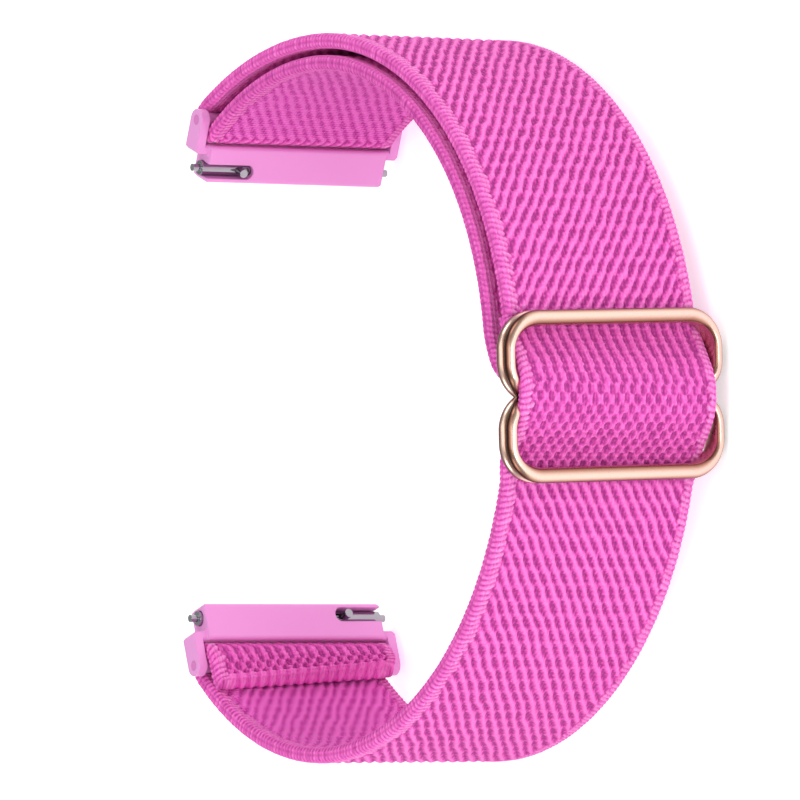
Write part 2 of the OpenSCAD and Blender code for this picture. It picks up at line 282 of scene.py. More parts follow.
# %% [markdown]
# ## The weave
#
# The face of the webbing is a field of small pockets, 1.24 mm apart across the strap and
# 1.75 mm along it. Each pocket leans and is deeper on one side, and the yarn that stands
# between the pockets joins into slanted ropes with scalloped sides. A texture could paint
# this, but in a side light the ropes cast real shadows and break the outline of the strap, so
# they are relief in the mesh. The relief is a formula, because a lattice of equal pockets is
# one. Nothing woven is quite even, so the lattice also wanders a little.


# %% Unevenness
def smooth(value):
    value = np.clip(value, 0, 1)
    return value * value * (3 - 2 * value)


def scatter(i, j):
    """Steady random number from 0 to 1 for each pair of whole numbers."""
    value = np.sin(i * 12.9898 + j * 78.233) * 43758.5453
    return value - np.floor(value)


def drift(x, y, seed):
    """Slow wandering between -1 and 1, a sum of four waves."""
    total = 0
    for k in range(4):
        spin = 2.4 * k + seed
        wave = (x * math.cos(spin) + y * math.sin(spin)) * (0.7 + 0.45 * k)
        total = total + np.sin(wave + 3 * spin)
    return total / 4


print("scattered:", [round(float(scatter(k, 1.0)), 2) for k in range(5)])

# %% Pockets
COLUMN = 1.24  # from one rope to the next
FLOAT = 1.75  # from one pocket to the next along a rope
POCKET_HALF_L = 0.86
POCKET_HALF_W = 0.4
SLANT = 0.6  # how far a pocket leans for its length


def pocket_depth(along, across, lean, pitch, half_l, brick=0.0):
    """Depth from 0 to 1 of a lattice of slanted pockets with one steep and one easy side."""
    base = np.round(along / pitch)
    deepest = 0
    for step in (-1, 0, 1):
        row = base + step
        da = along - row * pitch
        place = across - SLANT * lean * da - COLUMN * (0.5 + brick * np.mod(row, 2))
        near = np.round(place / COLUMN)
        dw = (place - near * COLUMN) / POCKET_HALF_W
        roll = scatter(row, near)
        size = 1 - np.abs(da / half_l) ** 2.5 - dw ** 2 / (0.8 + 0.4 * roll)
        depth = np.sqrt(np.maximum(size, 0)) * (0.65 + 0.3 * dw + 0.35 * roll)
        deepest = np.maximum(deepest, depth)
    return deepest


print("ropes across the strap:", round(STRAP_W / COLUMN, 1),
      "pockets to a centimetre:", round(10 / FLOAT, 1))

# %% [markdown]
# Where the webbing is pulled over a bar, in the slider's window and at the stitched end, the
# pockets close up into short rows, and where these lie staggered they make a honeycomb. This
# could be a second mesh, but as the two patterns share their columns, one can turn smoothly
# into the other. Single yarns, three to a rope, show faintly on both.

# %% Ropes and rows
ROW = 0.9  # from one closed-up pocket to the next
ROW_HALF_L = 0.62 * ROW
ROW_PULL = -0.12  # how far the columns of rows lean
STROKE = 0.2  # height of the single yarns
WANDER_L = 0.2  # how far the lattice wanders along the strap
WANDER_W = 0.15  # and across it
FRAY = 0.06  # how far the outlines of the ropes fray
FRAY_SCALE = 6.5


def floats(along, across, lean, pull):
    """Height of the face from 0 to 1.1."""
    fray = FRAY * drift(FRAY_SCALE * along, FRAY_SCALE * across, 2.0)
    along = along + WANDER_L * drift(along, across, 1.0) + fray
    across = across + WANDER_W * drift(across, along, 5.0) + fray
    rope = 0.5 + 0.5 * np.cos(2 * np.pi * (across / COLUMN - lean * along / FLOAT))
    slanted = pocket_depth(along, across, lean, FLOAT, POCKET_HALF_L)
    slanted = 0.5 * rope + 0.55 - 0.7 * slanted
    rows = 0.84 - pocket_depth(along, across + ROW_PULL * along, 0.0, ROW, ROW_HALF_L,
                               brick=0.5 * smooth(pull - 1))
    strokes = np.cos(6 * np.pi * across / COLUMN) * np.cos(6 * np.pi * along / FLOAT)
    top = slanted + (rows - slanted) * smooth(pull)
    return np.clip(top + STROKE * strokes * (1.2 - top), 0, 1.1)


patch = floats(*np.meshgrid(np.arange(0, 10, FINE), np.arange(0, 10, FINE)), 1.0, 0.0)
print("height of the face, from", round(patch.min(), 2), "to", round(patch.max(), 2),
      "on average", round(patch.mean(), 2))

# %% [markdown]
# The two selvedges are wrapped. Each turn of yarn goes over the edge from face to face and ends
# on the face as a rounded tooth, three of them to a float, beside a narrow furrow. Each turn
# could be a small tube, but there are hundreds, and all that shows of them is their rounding,
# so they are relief too. On the edge itself the turns from the two faces meet in a chevron,
# which comes out by itself when their slant depends on the distance from the edge's middle.

# %% Wrapped selvedge
SELVEDGE = 0.95  # how far a tooth reaches on to the face
TOOTH = FLOAT / 3  # from one turn to the next
TURN_SLANT = 0.3
TURN_WANDER = 0.09
CHEVRON = 0.14  # half width of the line where the turns meet


def teeth(along, girth, lean):
    """Roundness of a turn and how far it reaches.

    girth is the way from the middle of the edge, round the corner and on to the face."""
    wander = TURN_WANDER * drift(2.5 * along, 2.5 * girth, 9.0)
    phase = (along - TURN_SLANT * lean * girth + wander) / TOOTH
    which = np.floor(phase)
    part = 2 * (phase - which) - 1
    roundness = (1 - np.abs(part) ** 2.2) * (0.85 + 0.25 * scatter(which, 3.0))
    seam = 1 - 0.7 * np.exp(-((girth / CHEVRON) ** 2))
    reach = SELVEDGE + 0.5 * scatter(which, 7.0) - 0.3 * part ** 2
    return roundness * seam, reach


print("turns to a centimetre of selvedge:", round(10 / TOOTH, 1))

# %% [markdown]
# ## From route to mesh
#
# The section of the strap is a flat bar with rounded corners. Its outline is walked once
# round and swept along the route, and the relief moves each point along the section's own
# normal. A displacement modifier could do the same on a plain strap, but it can't tell a face
# from an edge, and here each has its own pattern.

# %% Outline of the section
CORNER = 0.45  # radius of the corners
CORNER_FINE = 0.1  # from one mesh point to the next round them


def section():
    """Samples round the section: place across (-1 to 1), place in thickness, normal angle."""
    flat = int((STRAP_W - 2 * CORNER) / FINE)
    turn = int(math.pi / 2 * CORNER / CORNER_FINE)
    rise = int((STRAP_T - 2 * CORNER) / CORNER_FINE)
    rows = [(u, 1, 90) for u in np.linspace(-1, 1, flat, endpoint=False)]
    rows += [(1, 1, a) for a in np.linspace(90, 0, turn, endpoint=False)]
    rows += [(1, s, 0) for s in np.linspace(1, -1, rise, endpoint=False)]
    rows += [(1, -1, a) for a in np.linspace(0, -90, turn, endpoint=False)]
    half = np.array(rows, float)
    other = half * (-1, -1, 1)
    other[:, 2] += 180
    return np.roll(np.concatenate([half, other]), turn + rise // 2, axis=0)


SECTION = section()
print("points round the section:", len(SECTION))

# %% Smooth strap
TUCK = 0.45  # length over which the cut end thins
TUCK_THIN = 0.35  # share of the thickness left at the very end


def outlines(track, cut_end):
    """Every point's place across the strap and outwards, and its normal's share in each."""
    thick, wide = track["thick"][:, None], track["wide"][:, None]
    place, layer, angle = SECTION.T
    normal_w, normal_t = np.cos(np.radians(angle))[None, :], np.sin(np.radians(angle))[None, :]
    corner = np.minimum(CORNER, 0.42 * thick)
    tuck = smooth(track["left"] / TUCK)[:, None] ** 0.5 if cut_end else 1.0
    half_t = thick / 2 * (TUCK_THIN + (1 - TUCK_THIN) * tuck)
    across = place[None, :] * (wide / 2 - corner) + normal_w * corner
    lift = (layer[None, :] * (half_t - corner * (half_t * 2 / thick))
            + normal_t * corner * half_t * 2 / thick)
    return across, lift, normal_w, normal_t


smooth_band = Route()
smooth_band.add(arc_points((0, 0), LOOP_R, 0, 10))
print("rows and points of ten degrees of strap:", outlines(smooth_band.sample(), False)[0].shape)

# %% [markdown]
# On a real band the weave isn't the same all over, so the relief reads its state from the
# route. On the inner face, which has rubbed on the wrist, the ropes are flatter and their
# filaments have fluffed up. Against a bar the face is pressed calm, and at the stitched end
# the ropes stop in a row of knots. The material could work all this out again from the shape,
# but the formulas know it already, so it is kept as point attributes: painted shade under the
# name height, which darkens the colour in the pockets, in the furrow, between the knots and
# between the turns of the selvedge, where shade falls between real yarns; a count of the
# fluffed filaments, 0.36 mm apart in a herringbone along each rope; and where the selvedge and
# the rubbed face are.

# %% Relief of the strap
RELIEF = 0.3  # from the bottom of a pocket to the top of a rope
SINK = 0.2  # how much of it lies below the flat face
TURN_H = 0.13  # height of a turn of the selvedge
TURN_SINK = 0.03
HAIR = 0.36  # from one fluffed filament to the next
HEM = 1.3  # length of the knots at the stitched end
NAP_FLAT = 0.35  # how much flatter the rubbed ropes are
NAP_FILL = 0.4  # how far their fluff fills the pockets
NAP_DIM = 0.15  # how much darker they are
MEAN_SHADE = 0.6
PALE_OVER = 0.7  # length over which the selvedge turns paler, from the edge to the face
HERRINGBONE = 0.9  # how far the filaments lean to both sides of a rope
MASK_W = 0.12  # how sharply the teeth end
FURROW_AT = 0.15  # middle of the furrow, from the ends of the teeth
FURROW_W = 0.14


def relief(track, across, lift, normal_t, lean, cut_end, under_nap):
    """Height of every point over the smooth strap, and the four point attributes."""
    thick, calm = track["thick"][:, None], track["calm"][:, None]
    inside = normal_t < -0.5
    girth = track["wide"][:, None] / 2 - np.abs(across) + np.abs(lift)
    along = np.broadcast_to(track["along"][:, None], across.shape)
    nap = np.where(normal_t < 0, under_nap, track["nap"][:, None])
    ropes = floats(along, across, lean, track["pulled"][:, None])
    ropes = ropes * (1 - NAP_FLAT * nap) + NAP_FILL * nap
    turns, reach = teeth(along, girth, lean)
    beyond = girth - thick / 2 - reach
    mask = smooth(0.5 - beyond / MASK_W)
    ropes = ropes * (1 - 0.5 * np.exp(-((beyond - FURROW_AT) / FURROW_W) ** 2))
    if cut_end:
        column = np.mod(across / COLUMN + 0.1 * drift(along, across, 4.0), 1.0)
        knots = 1 - np.abs(2 * column - 1) ** 2.2
        hem = smooth((HEM - track["left"][:, None]) / 0.2)
        ropes = ropes * (1 - hem) + hem * (0.45 + 0.55 * knots)
    height = (ropes * RELIEF - SINK) * (1 - mask) + mask * (TURN_H * turns - TURN_SINK)
    height = height * np.where(inside, calm, 1 - NAP_FILL * nap) * thick / STRAP_T
    dim = NAP_DIM * nap
    # shade is painted shade: darker in the pockets, the furrow and between the knots, between the
    # turns of the selvedge, and a little darker on the rubbed face.
    shade = (ropes - dim) * (1 - mask) + mask * (0.2 + 0.65 * turns - dim)
    rope = np.mod(across / COLUMN - lean * along / FLOAT, 1.0)
    # The point attribute named height carries this painted shade, not the relief. On the inner side
    # it is drawn towards MEAN_SHADE where the face is calm, which lightens the painted shade in the
    # gap between the layers.
    return height, {
        "height": np.where(inside, MEAN_SHADE + (shade - MEAN_SHADE) * calm, shade),
        "selvedge": mask * (0.25 + 0.75 * smooth((girth - thick / 2) / PALE_OVER)),
        "hair": along / HAIR + HERRINGBONE * np.abs(2 * rope - 1),
        "nap": nap * (1 - mask)}


print("the relief goes", round(RELIEF - SINK, 2), "mm out and", SINK, "mm in")

# %% [markdown]
# Half a million points are too many for a loop in Python, so each mesh is filled from arrays
# in one go. All the swept pieces are grids of rings, so the same functions serve the straps,
# the slider and the springs. Each end is closed by a strip of quads from side to side, which
# leaves no open edge, and the sign of the volume says whether the faces look outwards.


# %% Fill a mesh from rings
def fill_mesh(name, verts, quads):
    mesh = bpy.data.meshes.new(name)
    mesh.vertices.add(len(verts))
    mesh.vertices.foreach_set("co", to_frame(verts).astype(np.float32).ravel())
    mesh.loops.add(quads.size)
    mesh.loops.foreach_set("vertex_index", quads.astype(np.int32).ravel())
    mesh.polygons.add(len(quads))
    mesh.polygons.foreach_set("loop_start", np.arange(0, quads.size, 4, dtype=np.int32))
    mesh.polygons.foreach_set("use_smooth", np.ones(len(quads), bool))
    mesh.update(calc_edges=True)
    obj = bpy.data.objects.new(name, mesh)
    bpy.context.scene.collection.objects.link(obj)
    print(name, "points:", len(verts))
    return obj


def grid_quads(count, around):
    i, j = np.meshgrid(np.arange(count - 1), np.arange(around), indexing="ij")
    k = (j + 1) % around
    quads = [i * around + j, i * around + k, (i + 1) * around + k, (i + 1) * around + j]
    return np.stack(quads, -1).reshape(-1, 4)


def end_strip(around, offset, flip):
    """Quads between the two halves of the ring that starts at offset."""
    low = np.arange(around // 2 - 1)
    high = around - 1 - low
    quads = offset + np.stack([low, low + 1, high - 1, high], -1)
    return quads[:, ::-1] if flip else quads


def tube_quads(points):
    """Quads of a closed tube of rings, turned so that they face outwards."""
    count, around = points.shape[:2]
    quads = np.concatenate([grid_quads(count, around), end_strip(around, 0, True),
                            end_strip(around, (count - 1) * around, False)])
    a, b, c, d = points.reshape(-1, 3)[quads.T]
    volume = np.einsum("ij,ij->", a, np.cross(b, c)) + np.einsum("ij,ij->", a, np.cross(c, d))
    return quads if volume > 0 else quads[:, ::-1]


def add_field(mesh, label, values):
    attribute = mesh.attributes.new(label, "FLOAT", "POINT")
    attribute.data.foreach_set("value", values.astype(np.float32).ravel())


print("quads of three rings of six points:", len(grid_quads(3, 6)) + 2 * len(end_strip(6, 0, True)))

# %% [markdown]
# Now the route, the section and the relief come together. The texture coordinates are
# millimetres along the strap and across it. Unwrapping could give others, but these let every
# pattern in the material be set in real sizes.

# %% Sweep a strap
CUT_SKEW = 2.0  # how much longer one side of the cut end is
SKEW_FROM = 5.0  # length over which the rows turn askew


def sweep(name, route, out_side, lean, cut_end=False, under_nap=0.0):
    """Makes a strap. out_side is 1 where the outer face is on the route's right, else -1."""
    track = route.sample()
    across, lift, normal_w, normal_t = outlines(track, cut_end)
    height, fields = relief(track, across, lift, normal_t, lean, cut_end, under_nap)
    ahead = ahead_of(track["line"])
    out = out_side * np.stack([ahead[:, 1], -ahead[:, 0]], axis=-1)
    sag = track["droop"][:, None] * np.abs(2 * across / STRAP_W) ** 3
    outward = out[:, None, :] * (lift + normal_t * height - sag)[:, :, None]
    spine = np.broadcast_to(track["line"][:, None, :], outward.shape)
    if cut_end:
        turned = smooth(1 - track["left"] / SKEW_FROM)[:, None]
        skew = CUT_SKEW * (0.5 - across / STRAP_W) * turned
        spine = spine - ahead[:, None, :] * skew[:, :, None]
    z = across + normal_w * height
    points = np.concatenate([spine + outward, z[:, :, None]], axis=2)
    quads = tube_quads(points)
    obj = fill_mesh(name, points.reshape(-1, 3), quads)
    along = np.broadcast_to(track["along"][:, None], across.shape)
    uv = np.stack([along.ravel(), across.ravel()], -1)[quads.ravel()]
    layer = obj.data.uv_layers.new(name="strap_mm")
    layer.data.foreach_set("uv", uv.astype(np.float32).ravel())
    for label, values in fields.items():
        add_field(obj.data, label, values)
    return obj


print("rows at the cut end turn by", round(math.degrees(math.atan2(CUT_SKEW, STRAP_W)), 1), "degrees")

# %% [markdown]
# ## The two halves of the strap
#
# The webbing is one piece and could be one mesh. But the slider travels along it, and a blend
# leads only from one body to another. So it is cut in two where it passes under the slider's
# upper bar and nobody can see the cut. The upper half goes over the crown, round the strap bar
# and back inside to the middle bar.

# %% Upper half
TIE_FROM = 0.6  # share of the last stretch after which the webbing is drawn together
TIE_OVER = 0.3  # share of it that this takes
LEG_HANDLES = (SEAM_Y * 0.4, SEAM_Y * 0.38)

upper = Route()
upper.add(arc_points((0, 0), LOOP_R - STRAP_T / 2, seam_a, CROWN_START), calm=0.3)
upper.add(arc_points(crown_c, CROWN_R - STRAP_T / 2, CROWN_START, upper_end), calm=0.3)
upper.add(arc_points(upper_pin, wrap_mid, upper_end, return_a + 180), calm=0.2)
upper.add(arc_points(return_c, inner_r - return_shift - STRAP_T / 2, return_a, CROWN_START),
          sense=-1.0, nap=1.0, calm=0.3)
upper.add(arc_points(feed_c, inner_r - feed_shift - STRAP_T / 2, CROWN_START, feed_end),
          sense=-1.0, nap=1.0, calm=0.3)
tie_mid = WIRE_R + RUNNING + DRAWN_T / 2
leg_start = near_p + STRAP_T / 2 * polar(1.0, feed_end)
leg_stop = np.array([BACK_X, 0.0]) + polar(tie_mid, TIE_START)
leg = bezier_points(leg_start, leg_start + LEG_HANDLES[0] * polar(1.0, feed_end - 90),
                    leg_stop - LEG_HANDLES[1] * polar(1.0, TIE_START + 90), leg_stop)
share = np.linspace(0, 1, len(leg))
drawn = np.clip((share - TIE_FROM) / TIE_OVER, 0, 1)
upper.add(leg, thick=STRAP_T + (DRAWN_T - STRAP_T) * share,
          wide=STRAP_W + (TIE_WIDTH - STRAP_W) * drawn, sense=-1.0, nap=1 - share)
upper.add(arc_points((BACK_X, 0), tie_mid, TIE_START, TIE_START + TIE_SWEEP),
          thick=DRAWN_T, wide=TIE_WIDTH, sense=-1.0, calm=0.2)
upper_strap = sweep("upper_strap", upper, out_side=1, lean=-1.0)

# %% [markdown]
# The lower half has the hump in the slider's window, the single run, the turn round the strap
# bar and the short fold at its end. In the window all pockets are pulled closed, and below the
# crest they lie staggered. The webbing's edges could stay straight there, but on the real
# one they bulge a little past its width and sink, and this shows in the outline.

# %% Lower half
BULGE_W = 0.8  # how much wider the webbing is in the window
BULGE_SINK = 0.4  # how far its edges sink at the crest
BULGE_HALF = 2.6  # half the length over which they do
STAGGER_AT = 4.5  # height in the window below which the rows begin to lie staggered
STAGGER_OVER = 6.0
FLAP_HANDLE = FLAP_ANGLE / 5

lower = Route()
lower.add(hump, thick=hump_thick, wide=STRAP_W + BULGE_W, sense=-1.0,
          pulled=1 + smooth((STAGGER_AT - hump[:, 1]) / STAGGER_OVER),
          droop=BULGE_SINK * np.exp(-((hump[:, 1] / BULGE_HALF) ** 2)))
lower.add(arc_points((0, 0), LOOP_R - STRAP_T / 2, -seam_a, -lower_end), sense=-1.0)
lower.add(arc_points(lower_pin, wrap_mid, 360 - lower_end, 180 - lower_end), sense=-1.0, calm=0.2)
flap_a = -lower_end + FLAP_ANGLE
flap_start = lower_pin + wrap_mid * polar(1.0, 180 - lower_end)
flap_stop = polar(LOOP_R - 1.5 * STRAP_T - LAY_GAP, flap_a)
flap = bezier_points(flap_start, flap_start + FLAP_HANDLE * polar(1.0, 90 - lower_end),
                     flap_stop - FLAP_HANDLE * polar(1.0, flap_a + 90), flap_stop)
lower.add(flap, sense=-1.0, pulled=2.0)
lower_strap = sweep("lower_strap", lower, out_side=-1, lean=1.0, cut_end=True, under_nap=1.0)

# %% [markdown]
# ## The slider
#
# The slider is a casting in the form of two ridges side by side, bent into an upper and a
# lower loop. The loops run together into a V at the waist and dive under the strap to the
# middle bar. The CAD solid joins its ridges with short rods there, which is sound but angular.
# Subdivision could round it, but would also thin it. So one smooth section is swept along each
# loop, and its two ridges draw together as it nears the waist, until they are one round bar.

# %% Course of the slider's loops
RIDGE_STEP = 1.3  # from the back ridge to the front one
RAIL_Z = 12.07  # middle of the side rails, from the middle of the slider
CORNER_R = 3.3  # corners and waist, to the middle of the bars
PART_AT = -84  # degrees of the waist's bend where the two ridges begin to part
PART_OVER = 60
WAIST_STEPS, RAIL_STEPS, CORNER_STEPS, BAR_STEPS = 60, 8, 48, 40


def slider_track():
    """Upper loop of the slider: places (y, z), outward normals, and how far the ridges part."""
    top, side = SEAM_Y - CORNER_R, RAIL_Z - CORNER_R
    bend = np.radians(np.linspace(-90, 0, WAIST_STEPS, endpoint=False))
    bend2 = np.radians(np.linspace(0, 90, CORNER_STEPS, endpoint=False))
    waist = np.stack([CORNER_R * (1 + np.sin(bend)), side + CORNER_R * np.cos(bend)], -1)
    rail = np.stack([np.linspace(CORNER_R, top, RAIL_STEPS, endpoint=False),
                     np.full(RAIL_STEPS, RAIL_Z)], -1)
    corner = np.stack([top + CORNER_R * np.sin(bend2), side + CORNER_R * np.cos(bend2)], -1)
    bar = np.stack([np.full(BAR_STEPS, SEAM_Y), np.linspace(side, 0, BAR_STEPS)], -1)
    turn = np.concatenate([bend, np.zeros(RAIL_STEPS), bend2, np.full(BAR_STEPS, math.pi / 2)])
    half = np.concatenate([waist, rail, corner, bar])
    normal = np.stack([np.sin(turn), np.cos(turn)], -1)
    part = smooth((np.degrees(turn) - PART_AT) / PART_OVER)
    flip = np.array([1.0, -1.0])
    return (np.concatenate([half, half[-2::-1] * flip]),
            np.concatenate([normal, normal[-2::-1] * flip]), np.concatenate([part, part[-2::-1]]))


print("rings of each of the slider's loops:", len(slider_track()[0]))

# %% Section of the two ridges
RIDGE_POINTS = 30
RIDGE_OPEN = 75  # degrees by which the ridges' outlines open to the groove
# Where the painted highlights fall round each ridge, in degrees, and how far they spread.
REAR_AT, REAR_SPREAD = 195, 45
FRONT_CREST, FRONT_SPREAD = 8, 48
BACK_CREST, BACK_SPREAD = 62, 30
INNER_HIGHLIGHT = 0.7  # painted highlight on the side towards the window


def ridge_section(part, high):
    """Outline of the two ridges: offset along X, offset along the outward normal, painted highlight
    and shade.

    The ridges start 2 degrees apart, so that no two points meet where they become one bar."""
    gap = RIDGE_OPEN * part
    front = np.linspace(-88, 90 + gap, RIDGE_POINTS)
    back = np.linspace(92 - gap, 270, RIDGE_POINTS)
    step = RIDGE_STEP / 2 * part
    rows = []
    for angle, place, crest, spread in ((front, step, FRONT_CREST, FRONT_SPREAD),
                                        (back, -step, BACK_CREST, BACK_SPREAD)):
        turn = np.radians(angle)
        # Painted highlights: a band on each ridge's crest, one at the rear and one on the side
        # towards the window; elsewhere the section gets painted shade.
        rear_highlight = 0.8 * np.exp(-(((angle - REAR_AT) / REAR_SPREAD) ** 2))
        painted_light = np.maximum(np.exp(-(((angle - crest) / spread) ** 2)), rear_highlight)
        painted_light = np.maximum(painted_light, INNER_HIGHLIGHT * (np.sin(turn) < -0.85))
        deep = np.where(np.sin(turn) < 0, high - WIRE_R, WIRE_R)
        rows.append(np.stack([place + WIRE_R * np.cos(turn), deep * np.sin(turn), painted_light], -1))
    return np.concatenate(rows)


print("points round the two ridges:", len(ridge_section(1.0, 2 * WIRE_R)))

# %% [markdown]
# The bars across the strap are higher than the side rails, and the whole slider sits 2 degrees
# askew. Highlights are painted on the crests of the ridges, and shade is painted in the groove
# and on the flanks. This could follow from the curvature in the material, but the section
# knows where its crests are, so it is kept as a point attribute. The lower loop is the upper
# one mirrored.

# %% Slider
BAR_H = 1.52
RAIL_H = 1.05
SPLIT = 0.01  # between the two loops at the waist, so that they don't share a face
SKEW = math.radians(2.0)


def make_slider():
    rings, tone = [], []
    for place, out, part in zip(*slider_track()):
        outline = ridge_section(part, RAIL_H + (BAR_H - RAIL_H) * max(out[0], 0.0) ** 2)
        x = BACK_X + RIDGE_STEP / 2 * part + outline[:, 0]
        rings.append(np.column_stack([x, place + outline[:, 1:2] * out + (SPLIT, 0)]))
        tone.append(outline[:, 2])
    quads = tube_quads(np.array(rings))
    verts = np.concatenate(rings)
    both = np.concatenate([verts, verts * (1, -1, 1)])
    quads = np.concatenate([quads, quads[:, ::-1] + len(verts)])
    y, z = both[:, 1].copy(), both[:, 2].copy()
    both[:, 1] = y * math.cos(SKEW) - z * math.sin(SKEW)
    both[:, 2] = y * math.sin(SKEW) + z * math.cos(SKEW)
    obj = fill_mesh("slider_casting", both, quads)
    add_field(obj.data, "painted_light", np.concatenate(tone + tone))
    return obj


slider_casting = make_slider()

# %% [markdown]
# ## The springs of the spring bars
#
# Each spring bar hides a small compression spring behind its sliding tip. A screw modifier
# could wind it, but a round wire swept along a helix is one line of arrays, and the ends are
# closed by the same function as the straps'. The function also works out the spring's fixed
# end and the share of its length left when the tip moves, but no squash is set up with them.

# %% Coil springs
SPRING_TURNS = 13
SPRING_R = 0.41
SPRING_WIRE = 0.11
RINGS_TO_A_TURN = 28
WIRE_SIDES = 10
RELEASE_TRAVEL = 0.9


def coil_spring(end):
    low, high = (to_loop(corner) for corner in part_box(end + "_tip_spring"))
    middle = (low + high) / 2
    turn = np.linspace(0, 2 * math.pi * SPRING_TURNS, SPRING_TURNS * RINGS_TO_A_TURN)
    side = np.linspace(0, 2 * math.pi, WIRE_SIDES, endpoint=False)[None, :]
    reach = SPRING_R + SPRING_WIRE * np.cos(side)
    rise = np.interp(turn, [0, turn[-1]], [low[2] + SPRING_WIRE, high[2] - SPRING_WIRE])
    points = np.stack([middle[0] + reach * np.cos(turn)[:, None],
                       middle[1] + reach * np.sin(turn)[:, None],
                       rise[:, None] + SPRING_WIRE * np.sin(side)], -1)
    spring = fill_mesh(end + "_coil_spring", points.reshape(-1, 3), tube_quads(points))
    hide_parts(end + "_tip_spring")
    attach(spring, end + "_spring_bar")
    fixed = middle.copy()
    fixed[2] = low[2] if end == "upper" else high[2]
    return spring, tuple(to_frame(fixed)), 1 - RELEASE_TRAVEL / (high[2] - low[2])


springs = {end: coil_spring(end) for end in ("upper", "lower")}

# %% [markdown]
# ## Materials
#
# Colours could be typed in as the linear values that Blender works in, but nobody can read
# those off a picture. They are written as the hexadecimal values that one would pick from a
# photograph of the real thing, and one function turns them. Another adds a node together
# with its settings and links, so that a material reads from its coordinates to its shader.


# %% Colour and node helpers
def srgb(code, alpha=1.0):
    values = [int(code[k:k + 2], 16) / 255 for k in (1, 3, 5)]
    linear = [v / 12.92 if v <= 0.04045 else ((v + 0.055) / 1.055) ** 2.4 for v in values]
    return (*linear, alpha)


def new_material(name):
    material = bpy.data.materials.new(name)
    material.use_nodes = True
    tree = material.node_tree
    shader = next(node for node in tree.nodes if node.type == "BSDF_PRINCIPLED")
    return material, tree, shader


def add(tree, kind, inputs=(), out=0, stops=(), **settings):
    """Adds a node and returns one of its outputs.

    inputs are (socket, value or other output) pairs, and stops are (position, colour) pairs.
    Sockets by number: Math has its three values at 0 to 2, Mix its factor at 0, its numbers at
    2 and 3 and its colours at 6 and 7, and MapRange its two ranges at 1, 2 and 3, 4."""
    node = tree.nodes.new("ShaderNode" + kind)
    for key, value in settings.items():
        setattr(node, key, value)
    for socket, value in inputs:
        if isinstance(value, bpy.types.NodeSocket):
            tree.links.new(value, node.inputs[socket])
        else:
            node.inputs[socket].default_value = value
    for k, (position, code) in enumerate(stops):
        element = node.color_ramp.elements[k] if k < 2 else node.color_ramp.elements.new(1.0)
        element.position, element.color = position, srgb(code)
    return node.outputs[out]


def repaint(obj, material):
    obj.data.materials.clear()
    obj.data.materials.append(material)


print("middle grey #808080 is", round(srgb("#808080")[0], 3), "in linear light")

# %% [markdown]
# ### Textured nylon webbing
#
# The webbing is textured nylon yarn round elastic threads. The relief gives the ropes, and
# the material gives what is finer: the yarns of 0.4 mm that show side by side in the hollows,
# the crimp of 0.6 mm along them, and the fuzz of the filaments. A scan of real webbing could
# give these too, but a few waves and one noise do it at any scale. Single filaments of
# 0.02 mm would be too fine to show, so the fuzz is drawn as strokes of about 0.15 by 0.45 mm.

# %% Threads of the webbing
YARN_PITCH = COLUMN / 3
CRIMP_PITCH = FLOAT / 3
FULL = 2 * math.pi

webbing, cloth, cloth_shader = new_material("textured_nylon_webbing")
uv = add(cloth, "UVMap", uv_map="strap_mm")
# height is painted shade: low in the hollows of the weave and between the turns of the selvedge.
height, edge, nap, hair = (add(cloth, "Attribute", out="Fac", attribute_name=label)
                           for label in ("height", "selvedge", "nap", "hair"))
strokes = add(cloth, "Mapping", [("Vector", uv), ("Rotation", (0, 0, 0.5)),
                                 ("Scale", (2.2, 7.0, 1))])
fuzz = add(cloth, "TexNoise", [("Vector", strokes), ("Scale", 1.0), ("Detail", 4.0),
                               ("Roughness", 0.75), ("Distortion", 0.6)])
wobble = add(cloth, "Math", [(0, fuzz), (1, 5.0)], operation="MULTIPLY")
waves = []
for count, way in ((add(cloth, "SeparateXYZ", [(0, uv)], out="Y"), FULL / YARN_PITCH),
                   (add(cloth, "SeparateXYZ", [(0, uv)], out="X"), FULL / CRIMP_PITCH),
                   (hair, FULL)):
    turn = add(cloth, "Math", [(0, count), (1, way), (2, wobble)], operation="MULTIPLY_ADD")
    waves.append(add(cloth, "Math", [(0, turn)], operation="SINE"))
yarns, crimp, hairs = waves
comb = add(cloth, "Mix", [(0, 0.4), (2, yarns), (3, crimp)])
hollow = add(cloth, "MapRange", [(0, height), (1, 0.75), (2, 0.15)])
face = add(cloth, "Math", [(0, 1.0), (1, edge)], operation="SUBTRACT")
deep = add(cloth, "Math", [(0, hollow), (1, face)], operation="MULTIPLY")
print("yarns are", round(YARN_PITCH, 2), "mm apart, and their crimp", round(CRIMP_PITCH, 2), "mm")

# %% [markdown]
# The colour carries painted shade: it is darker in the hollows and lighter on the crests, by
# the point attribute named height. The wrapped selvedge is paler. On the rubbed inner faces,
# where the filaments have fluffed, the colour is fuller and also brighter, which is painted
# light for the inside of the loop that the lamps reach less. One ramp could serve, but each of
# the three places has its own hue, so there are three, read by the same light value and mixed
# by the point attributes.

